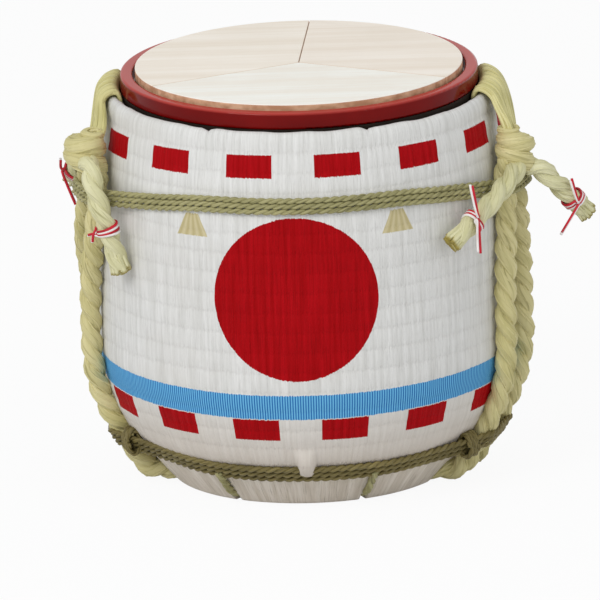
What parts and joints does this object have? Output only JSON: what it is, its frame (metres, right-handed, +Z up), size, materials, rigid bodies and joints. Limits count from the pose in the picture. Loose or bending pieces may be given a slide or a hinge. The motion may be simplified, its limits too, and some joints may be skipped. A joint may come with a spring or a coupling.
{
  "type": "straw-wrapped sake barrel",
  "caption": "Small wooden sake barrel wrapped in printed straw matting and rope, with a red lacquered tub inside and a round wooden lid split into sectors.",
  "frame": {"origin": "centre of the flat underside", "axes": "+Z up through the lid, -Y to the front of the printed mat, +X to the right of it"},
  "size_m": [0.2656, 0.2054, 0.205],
  "materials": {
    "cedar": "plain split and planed wood",
    "bamboo": "split bamboo",
    "straw_fill": "loose rice straw, held as one piece",
    "printed_mat": "white straw mat with printed bands",
    "plain_mat": "white straw mat, undyed",
    "red_lacquer": "red lacquer, glossy",
    "lid_wood": "pale planed wood, matt",
    "straw_rope": "twisted straw rope",
    "thin_rope": "thin twisted straw rope",
    "red_paper_cord": "twisted paper cord",
    "white_paper_cord": "twisted paper cord"
  },
  "bodies": {
    "barrel": {"bottom_board_left": "cedar", "bottom_board_middle": "cedar", "bottom_board_right": "cedar", "bottom_dowels_left": "cedar", "bottom_dowels_right": "cedar", "foot_tie_1": "thin_rope", "foot_tie_2": "thin_rope", "foot_tie_3": "thin_rope", "foot_tie_4": "thin_rope", "foot_tie_5": "thin_rope", "foot_tie_6": "thin_rope", "girth_rope_lower": "thin_rope", "girth_rope_upper": "thin_rope", "hoop_bottom": "bamboo", "hoop_middle": "bamboo", "hoop_top": "bamboo", "knot_left": "straw_rope", "knot_right": "straw_rope", "mat_base": "plain_mat", "mat_side": "printed_mat", "neck_rope_left": "straw_rope", "neck_rope_right": "straw_rope", "paper_cord_left_front_red": "red_paper_cord", "paper_cord_left_front_white": "white_paper_cord", "paper_cord_left_rear_red": "red_paper_cord", "paper_cord_left_rear_white": "white_paper_cord", "paper_cord_right_front_red": "red_paper_cord", "paper_cord_right_front_white": "white_paper_cord", "paper_cord_right_rear_red": "red_paper_cord", "paper_cord_right_rear_white": "white_paper_cord", "rope_front": "straw_rope", "rope_rear": "straw_rope", "stave_01": "cedar", "stave_02": "cedar", "stave_03": "cedar", "stave_04": "cedar", "stave_05": "cedar", "stave_06": "cedar", "stave_07": "cedar", "stave_08": "cedar", "stave_09": "cedar", "stave_10": "cedar", "stave_11": "cedar", "stave_12": "cedar", "stave_13": "cedar", "stave_14": "cedar", "stave_15": "cedar", "stave_16": "cedar", "straw_padding": "straw_fill", "tail_left_front": "straw_rope", "tail_left_rear": "straw_rope", "tail_right_front": "straw_rope", "tail_right_rear": "straw_rope"},
    "tub": {"tub": "red_lacquer"},
    "lid_back_left": {"lid_back_left": "lid_wood"},
    "lid_back_right": {"lid_back_right": "lid_wood"},
    "lid_front": {"lid_front": "lid_wood"}
  },
  "joints": [
    {"name": "tub_lift", "type": "slide", "parent": "barrel", "child": "tub", "axis": [0, 0, 1], "range_m": [0, 0.115]},
    {"name": "lid_back_left_lift", "type": "slide", "parent": "tub", "child": "lid_back_left", "axis": [0, 0, 1], "range_m": [0, 0.09]},
    {"name": "lid_back_right_lift", "type": "slide", "parent": "tub", "child": "lid_back_right", "axis": [0, 0, 1], "range_m": [0, 0.09]},
    {"name": "lid_front_lift", "type": "slide", "parent": "tub", "child": "lid_front", "axis": [0, 0, 1], "range_m": [0, 0.09]}
  ]
}
